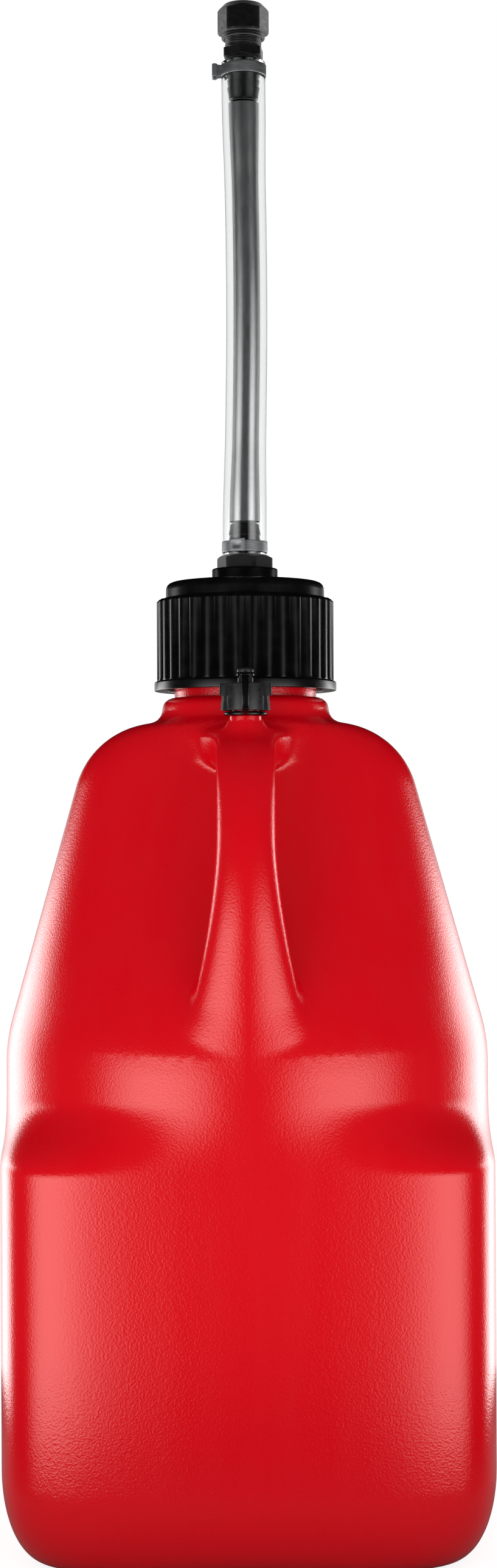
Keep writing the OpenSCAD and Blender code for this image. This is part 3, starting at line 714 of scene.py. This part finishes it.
def gripPoint(t):
    t = np.asarray(t)[..., None]
    s = 1 - t
    return s ** 3 * gripLine[0] + 3 * s * s * t * gripLine[1] + 3 * s * t * t * gripLine[2] + t ** 3 * gripLine[3]


def gripWay(t):
    t = np.asarray(t)[..., None]
    s, legs = 1 - t, np.diff(gripLine, axis=0)
    way = s * s * legs[0] + 2 * s * t * legs[1] + t * t * legs[2]
    return way / np.linalg.norm(way, axis=-1, keepdims=True)


def flareShare(z):
    rise = handleSet.flareRise
    return np.clip((shoulderZ + rise - z) / rise, 0, 1) ** handleSet.flare


def gripWidth(z):
    toe = handleSet.toe * smoothStep((shoulderZ + handleSet.toeRise - z) / handleSet.toeRise)
    return mixed(*handleSet.width, flareShare(z)) + toe


def gripDepth(z):
    return mixed(*handleSet.thick, smoothStep((gripMid - z) / (gripMid - gripEnd)))


def handleField(p):
    # rough distance to the handle's oval, square to its middle line
    y, z = p[:, 1], p[:, 2]
    steps = np.linspace(0, 1, 41)
    spots = gripPoint(steps)
    t = steps[np.argmin((y[:, None] - spots[:, 0]) ** 2 + (z[:, None] - spots[:, 1]) ** 2, axis=1)]
    for _ in range(6):
        off = p[:, 1:] - gripPoint(t)
        way = gripPoint(np.clip(t + 0.005, 0, 1)) - gripPoint(np.clip(t - 0.005, 0, 1))
        t = np.clip(t + 0.01 * (off * way).sum(1) / (way ** 2).sum(1), 0, 1)
    middle, way = gripPoint(t), gripWay(t)
    off = p[:, 1:] - middle
    low, footZ = z < gripMid, np.maximum(z, gripEnd)  # below the bend the handle runs straight down
    centreZ = np.where(low, footZ, middle[:, 1])
    over = np.where(low, footZ - z, np.maximum(-(off * way).sum(1), 0) * (t <= 0))
    v = np.where(low, gripDepth(footZ) / 2 + handleSet.inset - jugHalf - y,
                 off[:, 0] * way[:, 1] - off[:, 1] * way[:, 0])
    # widest well behind the front face; the front runs from round at the grip to a soft keel at the foot
    deep, flare = gripDepth(centreZ), flareShare(centreZ)
    crown = np.where(low, 0, smoothStep((middle[:, 0] - handleSet.crownY) / handleSet.crownLong))
    root = np.where(low, 0, np.maximum(middle[:, 0] - handleSet.rootY, 0) / handleSet.rootLong) ** 2
    belly = mixed(mixed(*handleSet.belly, flare), handleSet.rootBelly, crown)
    v = v - deep / 2 + belly
    a = gripWidth(centreZ) / 2 + handleSet.rootOut * root
    b = np.where(v > 0, belly, deep - belly)
    m = mixed(*handleSet.sidePower, flare)
    n = mixed(*handleSet.frontPower, flare) + handleSet.crownPower * crown
    u, v = np.abs(p[:, 0]) / a + 1e-6, np.abs(v) / b + 1e-6
    g, mean = u ** m + v ** n, (m + n) / 2
    slope = np.hypot(m * u ** (m - 1) / a, n * v ** (n - 1) / b)
    side = (g ** (1 / mean) - 1) / np.maximum(slope * g ** (1 / mean - 1) / mean, 1 / np.maximum(a, b))
    return np.where(over > 0.01, np.hypot(np.maximum(side, 0), over), side)


def softUnion(a, b, ease):
    share = np.maximum(ease - np.abs(a - b), 0) / ease
    return np.minimum(a, b) - share * share * ease / 4


readProfile = profileField()


def jugField(p):
    x, y, z = p.T
    shell = readProfile(planRadius(p), z)
    out, up = np.hypot(x, y) - (neckSet.collar - neckSet.beadRound), z - neckSet.beadZ
    bead = np.hypot(np.maximum(out, 0), np.maximum(up, 0)) + np.minimum(np.maximum(out, up), 0)
    collared = softUnion(shell, bead - neckSet.beadRound, neckSet.fillet)
    field = np.where(z > neckSet.beadFrom, collared, shell)
    near = (np.abs(x) < joinSet.nearX) & (y < joinSet.nearY) & (z > joinSet.nearZ)
    x, y, z = p[near].T
    # crisp where the foot meets the shoulder, softer up its sides, round at the root
    ease = mixed(joinSet.crease, joinSet.side, smoothStep((z - joinSet.sideZ) / joinSet.rise))
    ease = mixed(ease, joinSet.root, smoothStep((z - joinSet.rootZ) / joinSet.rise))
    joined = softUnion(field[near], handleField(p[near]), ease)
    seat = np.maximum(np.hypot(x, y - ventY) - ventSeatSet.mould, z - ventSeatZ + ventSeatSet.mouldDrop)
    field[near] = np.where(z > joinSet.seatZ, softUnion(joined, seat, joinSet.seat), joined)
    return field


def fieldSlope(p, h=0.05):
    return np.stack([(jugField(p + step) - jugField(p - step)) / (2 * h) for step in h * np.eye(3)], 1)


def roughJug():
    # overlapping lofts of shell, collar and handle, enough for the remesh
    points, faces = [], []

    def loft(rings):
        faces.extend(loftFaces(len(rings), len(rings[0]), len(points)))
        for ring in rings:
            points.extend(ring)

    turns, rings = roundTurn(160), []
    for r, z in shellProfile()[1:-1]:
        ring = np.stack([np.cos(turns), np.sin(turns), np.full(len(turns), z)], 1)
        ring[:, :2] *= (r / planRadius(ring))[:, None]
        rings.append(ring)
    fine = []
    for lower, upper in zip(rings[:-1], rings[1:]):
        gaps = max(1, int((upper[0, 2] - lower[0, 2]) / skinSet.roughStep))
        fine += [lower + (upper - lower) * k / gaps for k in range(gaps)]
    loft(fine + [rings[-1]])
    loft([[(r * math.cos(a), r * math.sin(a), z) for a in roundTurn(96)] for r, z in neckSet.rough])
    spots = [(gripPoint(t), gripWay(t)) for t in np.linspace(0, 1, 24)]
    spots += [(np.array([gripDepth(z) / 2 + handleSet.inset - jugHalf, z]), np.array([0, -1]))
              for z in np.linspace(gripMid, gripEnd, 24)[1:]]
    turns, handle = roundTurn(40), []
    for (y, z), way in spots:
        w, t = float(gripWidth(z)) / 2, float(gripDepth(z)) / 2
        handle.append([(w * math.cos(a), y + t * math.sin(a) * way[1], z - t * math.sin(a) * way[0]) for a in turns])
    loft(handle)
    return addPiece("jugBody", points, faces, redSkin)


def makeJug():
    jug = roughJug()
    remesh = jug.modifiers.new("even skin", "REMESH")
    remesh.mode, remesh.voxel_size, remesh.adaptivity = "VOXEL", skinSet.voxel * mm, 0
    bakeModifiers(jug)
    mesh = jug.data
    co = np.empty(len(mesh.vertices) * 3)
    mesh.vertices.foreach_get("co", co)
    p = co.reshape(-1, 3) / mm
    edges = np.empty(len(mesh.edges) * 2, int)
    mesh.edges.foreach_get("vertices", edges)
    edges = edges.reshape(-1, 2)
    degree = np.bincount(edges.ravel(), minlength=len(p))[:, None]
    for turn in range(skinSet.passes):
        slope = fieldSlope(p)
        size = np.maximum((slope ** 2).sum(1), 0.05)
        p = p - slope * np.clip(jugField(p) / size, -skinSet.longestMove, skinSet.longestMove)[:, None]
        if turn < skinSet.evenPasses:  # even out the mesh along the skin, then drop it back onto the field
            total = np.zeros_like(p)
            np.add.at(total, edges[:, 0], p[edges[:, 1]])
            np.add.at(total, edges[:, 1], p[edges[:, 0]])
            normal = slope / np.linalg.norm(slope, axis=1, keepdims=True)
            pull = total / degree - p
            p = p + 0.5 * (pull - normal * (pull * normal).sum(1, keepdims=True))
    normal = fieldSlope(p)
    normal /= np.linalg.norm(normal, axis=1, keepdims=True)
    # the base stands on its corners: each side arches up a little
    x, y, z = p.T
    rim = smoothStep((np.hypot(x, y) - jugSet.archFrom) / jugSet.archFade)
    side = np.cos(2 * np.arctan2(y, x)) ** 4
    p[:, 2] += jugSet.arch * side * (1 - smoothStep(z / jugSet.archRise)) * rim
    mesh.vertices.foreach_set("co", (p * mm).ravel())
    for face in mesh.polygons:
        face.use_smooth = True
    mesh.update()
    mesh.normals_split_custom_set_from_vertices(normal.tolist())
    print("jug skin", len(mesh.polygons), "faces")
    return fit(jug, "jug", "red_polyethylene", "jug_body")


def makeNeck():
    lip, foot = nodeBox("cap_gasket")[0].z, deckZ + neckSet.foot
    bore, wall = neckSet.bore, neckSet.neck
    corners = [(bore, foot), (wall, foot), (wall, lip, 1.2), (bore, lip, 1)]
    neck = turnedEven("jugNeck", rounded(corners, steps=6), redSkin, 128)
    threadOn(neck, redSkin, wall, neckSet, (0, 0, neckSet.threadFoot))
    return fit(neck, "jug", "red_polyethylene")


def makeVentSeat():
    seat, wall, bore = pick(ventSeatSet, "seat", "neck", "bore")
    foot, lip = ventSeatZ - ventSeatSet.foot, ventSealLow.z
    corners = [(bore, foot), (seat, foot), (seat, ventSeatZ, 0.5), (wall, ventSeatZ, 0.4), (wall, lip, 0.6),
               (bore, lip, 0.5)]
    piece = turnedEven("ventSeat", rounded(corners), redSkin, 72, (0, ventY))
    threadOn(piece, redSkin, wall, ventSeatSet, (0, ventY, ventSeatZ + ventSeatSet.threadFoot))
    return fit(piece, "jug", "red_polyethylene")


makeJug()
makeNeck()
makeVentSeat()

# main cap

capSet = Sizes(rim=49.3, rimHeight=4.8, ribs=48, ribCount=36, ribDepth=1.3, ribFoot=0.6, ribFade=1.2, ribBand=2.4,
               chamfer=1.5, disc=42.9, discHeight=9.2, discRound=6, boss=17.8, bossHeight=7.5, bore=42.2,
               pocket=39.4, shank=10.55, top=4, pointsPerRib=12)


def makeMainCap():
    low, high = nodeBox("main_cap")
    rim, ribs, disc, boss, bore, pocket, shank, chamfer = pick(
        capSet, "rim", "ribs", "disc", "boss", "bore", "pocket", "shank", "chamfer")
    bottom, bossTop = low.z, high.z
    top, rimTop = bossTop - capSet.bossHeight, bottom + capSet.rimHeight
    skirtTop, ceiling = top - capSet.discHeight, top - capSet.top
    pocketZ = skirtTop - capSet.top
    corners = [(bore, bottom, 0.5), (rim, bottom, 0.6), (rim, rimTop, 0.8), (ribs - 0.1, rimTop + 0.3, 0.4),
               (ribs, rimTop + 1.2), (ribs, rimTop + 1.8), (ribs, skirtTop - chamfer - 0.6),
               (ribs, skirtTop - chamfer, 1), (ribs - chamfer, skirtTop, 0.8), (disc, skirtTop, 0.8),
               (disc, top, capSet.discRound), (boss, top, 0.8), (boss, bossTop, 1), (shank, bossTop, 0.4),
               (shank, ceiling, 0.3), (pocket, ceiling, 0.5), (pocket, pocketZ, 0.3), (bore, pocketZ, 0.5)]
    cap = turned("mainCap", rounded(corners, steps=5), blackMould, capSet.ribCount * capSet.pointsPerRib)
    x, y, z = np.array([v.co for v in cap.data.vertices]).T / mm
    ribbed = (np.hypot(x, y) > ribs - capSet.ribBand) & (z > rimTop + 1) & (z < skirtTop + 0.05)
    share = ribbed * smoothStep((z - rimTop - capSet.ribFoot) / capSet.ribFade)
    cap.data.attributes.new("rib", "FLOAT", "POINT").data.foreach_set("value", share.tolist())
    runTree(cap, gripRibs, {"Count": float(capSet.ribCount), "Depth": capSet.ribDepth * mm, "Finish": blackMould})
    cap.data.attributes.remove(cap.data.attributes["rib"])
    return fit(cap, "cap", "black_plastic", "main_cap")


makeMainCap()

# vent cap with its grip pads and knob

ventCapSet = Sizes(body=11, bore=8.6, top=2, post=3.2, postFoot=4.2, footRise=3, knob=4.4, knobHead=2.2,
                   knobBevel=0.9, padIn=8.5, padOut=13.2, padWidth=9, padSplit=0.46, waist=12.2, footOut=12.8,
                   barCount=7, barWidth=0.6, barShort=0.8, barSink=0.05)


def makeVentCap():
    body, bore, post, postFoot, knob, padIn, padOut = pick(
        ventCapSet, "body", "bore", "post", "postFoot", "knob", "padIn", "padOut")
    bottom, ceiling, high = ventCapLow.z, ventSealHigh.z, ventCapHigh.z
    bodyTop, neckTop = ceiling + ventCapSet.top, high - ventCapSet.knobHead
    footTop = bodyTop + ventCapSet.footRise
    corners = [(bore, bottom, 0.3), (body, bottom, 0.4), (body, bodyTop, 0.7), (postFoot, bodyTop, 0.3),
               (postFoot, footTop, 0.3), (post, footTop, 0.2), (post, neckTop, 0.2), (knob, neckTop, 0.3),
               (knob, high - 0.7, 0.5), (knob - ventCapSet.knobBevel, high, 0.5), (0, high), (0, ceiling),
               (bore, ceiling, 0.3)]
    cap = turned("ventCap", rounded(corners), charcoal, 72, (0, ventY))
    # each pad is narrow at its waist, with upright bars on its upper half
    split = mixed(bottom, bodyTop, 1 - ventCapSet.padSplit)
    half, wide = ventCapSet.padWidth / 2, ventCapSet.barWidth
    levels = [(bottom, ventCapSet.footOut, 1.3), (split - 0.2, ventCapSet.waist, 1.3), (split, padOut, 0.4),
              (bodyTop - 0.3, padOut, 0.4), (bodyTop, padOut - 0.3, 0.4)]
    for side in (-1, 1):
        points = []
        for z, reach, ease in levels:
            edge = half - 1.2 * ease - 0.3
            ring = [(padIn, -half), (reach - 1.2, -half), (reach - 0.35, -half + ease)]
            ring += [(reach, y) for y in np.linspace(-edge, edge, 6)]
            ring += [(reach - 0.35, half - ease), (reach - 1.2, half), (padIn, half)]
            points += [(side * x, ventY + y, z) for x, y in ring]
        pad = addPiece("pad", points, loftFaces(len(levels), len(points) // len(levels)), charcoal, 30)
        start = (side * (padOut - ventCapSet.barSink), ventY - half + wide, (split + bodyTop) / 2)
        step = (2 * half - 2 * wide) / (ventCapSet.barCount - 1)
        bars = grown(barRow, {
            "Count": ventCapSet.barCount, "Start": [c * mm for c in start], "Step": [0, step * mm, 0],
            "Finish": charcoal, "Bar": [wide * mm, wide * mm, (bodyTop - split - ventCapSet.barShort) * mm]})
        merge(cap, pad, bars)
    return fit(cap, "vent_cap", "black_plastic", "vent_cap")


tetherSet = Sizes(ring=11.3, ringBore=7.75, ringHeight=2.1, eyelet=4.7, eyeletBore=3.45, eyeletHeight=1.7,
                  eyeletGap=0.3, strapWidth=3.5, strapThick=1.4, bow=7)


def makeTether():
    outer, inner, eye, eyeBore = pick(tetherSet, "ring", "ringBore", "eyelet", "eyeletBore")
    eyeTop = ventCapHigh.z - ventCapSet.knobHead - tetherSet.eyeletGap
    eyeLow, ringTop = eyeTop - tetherSet.eyeletHeight, ventSeatZ + tetherSet.ringHeight
    tether = turned("ventTether", rounded([(inner, ventSeatZ, 0.4), (outer, ventSeatZ, 1), (outer, ringTop, 1),
                                           (inner, ringTop, 0.4)]), blackMould, 72, (0, ventY))
    eyelet = turned("eyelet", rounded([(eyeBore, eyeLow, 0.3), (eye, eyeLow, 0.6), (eye, eyeTop, 0.6),
                                       (eyeBore, eyeTop, 0.3)]), blackMould, 48, (0, ventY))
    far, midLow = outer + tetherSet.bow, ventSeatZ + tetherSet.ringHeight / 2
    route = [Vector((0, ventY - out, z)) for out, z in (
        (outer - 1, midLow), (far, midLow), (far, eyeTop + tetherSet.eyeletHeight),
        (eye - 0.8, (eyeLow + eyeTop) / 2))]
    path = []
    for t in np.linspace(0, 1, 33):
        s = 1 - t
        path.append(route[0] * s ** 3 + route[1] * 3 * s * s * t + route[2] * 3 * s * t * t + route[3] * t ** 3)
    w, t = tetherSet.strapWidth / 2, tetherSet.strapThick / 2
    section = rounded([(-w, -t, 0.45), (w, -t, 0.45), (w, t, 0.45), (-w, t, 0.45)])
    merge(tether, eyelet, swept("strap", path, (1, 0, 0), section, blackMould))
    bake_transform(tether)
    return fit(tether, None, "black_plastic", "vent_tether")


makeVentCap()
makeTether()

# seals keep their CAD shapes
for node in ("cap_gasket", "adapter_oring", "nozzle_washer", "vent_seal"):
    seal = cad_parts[node]
    seal.data.materials.clear()
    seal.data.materials.append(rubber)

# stage and light; the room's edges are (dark, full) directions on the unit sphere

stageSet = Sizes(floor=0.42, floorGlow=0.86, floorTone="8C8C8C", fadeFrom=0.5, fadeTo=0.96, roomAmbient=0.6,
                 roomFront=0.01, roomBack=0.9, through=(-0.1, 0.25), behind=(0.84, 0.96), beside=(0.992, 0.965),
                 low=(0.17, 0.08))
# name, azimuth from the front, distance, foot, top, width, radiance, heights where its top is full and dark,
# slant of the top, and the pieces that it lights where it is flagged off the others
hoseOnly, nozzleOnly = ("fillerHose",), ("nozzleCap", "nozzleBarb")
lampSet = [
    ("left softbox", -40, 1.15, -0.35, 0.68, 1.55, 3.2, 0.15, 0.68, 0, ()),
    ("right softbox", 43, 1.15, -0.35, 0.68, 1.55, 2.8, 0.15, 0.68, 0, ()),
    ("left strip", -133.8, 1.25, -0.3, 0.84, 1.2, 4.3, 0.46, 0.66, 0.42, ()),
    ("right strip", 133.8, 1.25, -0.3, 0.84, 1.2, 4.3, 0.46, 0.66, -0.42, ()),
    ("left hose panel", -53, 1.15, 0.45, 1.1, 1.4, 3.1, 0.7, 0.98, 0, hoseOnly),
    ("right hose panel", 47, 1.15, 0.45, 1.1, 1.4, 3.1, 0.7, 0.98, 0, hoseOnly),
    ("left nozzle panel", -118, 1.25, 0.9, 1.4, 0.7, 3.2, 1.3, 1.4, 0, nozzleOnly),
    ("right nozzle panel", 118, 1.25, 0.9, 1.4, 0.7, 4.6, 1.3, 1.4, 0, nozzleOnly)]
lampCore = 0.15  # share of a lamp's half width that is evenly bright
white = (1, 1, 1, 1)


def addFloor():
    size = stageSet.floor
    ring = [(size * math.cos(a), size * math.sin(a), 0) for a in roundTurn(96)]
    mesh = bpy.data.meshes.new("floor")
    mesh.from_pydata(ring, [], [tuple(range(len(ring)))])
    material = bpy.data.materials.new("white paper round")
    material.use_nodes = True
    tree = material.node_tree
    tree.nodes.clear()
    # the shade under the jug fades out before the paper's edge
    place = addNode(tree, "ShaderNodeTexCoord").outputs["Object"]
    reach = addNode(tree, "ShaderNodeVectorMath", {0: place}, operation="LENGTH").outputs["Value"]
    edge = addRange(tree, reach, (stageSet.fadeFrom * size, stageSet.fadeTo * size), kind="SMOOTHSTEP")
    matt = addNode(tree, "ShaderNodeBsdfDiffuse", {"Color": linearColour(stageSet.floorTone)})
    seen = addNode(tree, "ShaderNodeLightPath").outputs
    either = addMath(tree, "MAXIMUM", seen["Is Camera Ray"], seen["Is Transmission Ray"])
    strength = addMath(tree, "MULTIPLY", either, stageSet.floorGlow)
    glow = addNode(tree, "ShaderNodeEmission", {"Color": white, "Strength": strength})
    bare = addNode(tree, "ShaderNodeEmission", {"Color": white, "Strength": either})
    both = addNode(tree, "ShaderNodeAddShader", {0: matt, 1: glow})
    faded = addNode(tree, "ShaderNodeMixShader", {0: edge, 1: both, 2: bare})
    addNode(tree, "ShaderNodeOutputMaterial", {"Surface": faded})
    mesh.materials.append(material)
    addObject("floor", mesh)


def addRoom():
    world = bpy.data.worlds.new("white studio")
    scene.world = world
    world.use_nodes = True
    tree = world.node_tree
    tree.nodes.clear()
    seen = addNode(tree, "ShaderNodeLightPath").outputs
    place = addNode(tree, "ShaderNodeTexCoord").outputs["Generated"]
    way = addNode(tree, "ShaderNodeSeparateXYZ", {0: place}).outputs
    edges = {}
    for name, axis in (("through", 1), ("beside", 1), ("low", 2)):
        edges[name] = addRange(tree, way[axis], getattr(stageSet, name))
    # white where it is looked at or seen through the hose; in the gloss only white bands low beside the back
    through = addMath(tree, "MULTIPLY", seen["Is Transmission Ray"], edges["through"])
    clear = addMath(tree, "MAXIMUM", seen["Is Camera Ray"], through)
    behind = addRange(tree, way[1], stageSet.behind, (stageSet.roomFront, stageSet.roomBack), "SMOOTHSTEP")
    strip = addMath(tree, "MULTIPLY", edges["low"], edges["beside"])
    band = addMath(tree, "MULTIPLY", behind, strip)
    either = addMath(tree, "MAXIMUM", seen["Is Glossy Ray"], seen["Is Transmission Ray"])
    glossy = addNode(tree, "ShaderNodeMix", {0: either, 2: stageSet.roomAmbient, 3: band}, data_type="FLOAT")
    level = addMath(tree, "MAXIMUM", glossy, clear)
    light = addNode(tree, "ShaderNodeBackground", {"Color": white, "Strength": level})
    addNode(tree, "ShaderNodeOutputWorld", {"Surface": light})


def addLamps():
    for name, azimuth, distance, foot, head, width, radiance, full, dark, slant, only in lampSet:
        height, tall = (foot + head) / 2, head - foot
        lamp = bpy.data.lights.new(name, "AREA")
        lamp.shape, lamp.size, lamp.size_y = "RECTANGLE", width, tall
        lamp.energy = radiance * math.pi * width * tall
        lamp.use_nodes = True
        tree = lamp.node_tree
        place = addNode(tree, "ShaderNodeNewGeometry").outputs["Parametric"]
        spot = addNode(tree, "ShaderNodeSeparateXYZ", {0: place}).outputs
        # the top edge is soft, and a strip's top slants down towards the back
        skew = addMath(tree, "MULTIPLY_ADD", spot[0], -slant, foot + slant / 2)
        rise = addMath(tree, "MULTIPLY_ADD", spot[1], tall, skew)
        top = addRange(tree, rise, (dark, full), kind="SMOOTHSTEP")
        # brightest in the middle of its width
        across = addMath(tree, "MULTIPLY_ADD", spot[0], 2, -1)
        off = addMath(tree, "ABSOLUTE", across)
        bell = addRange(tree, off, (1, lampCore), kind="SMOOTHSTEP")
        level = addMath(tree, "MULTIPLY", top, bell)
        tree.links.new(level.outputs[0], tree.nodes["Emission"].inputs["Strength"])
        panel = addObject(name, lamp)
        a = math.radians(azimuth)
        panel.location = (distance * math.sin(a), -distance * math.cos(a), height)
        panel.rotation_euler = (Vector((0, 0, height)) - panel.location).to_track_quat("-Z", "Y").to_euler()
        panel.visible_camera = False
        if only:
            lit = bpy.data.collections.new(name + " lights")
            for piece in only:
                lit.objects.link(bpy.data.objects[piece])
            panel.light_linking.receiver_collection = lit


addFloor()
addRoom()
addLamps()
print("stage lit")
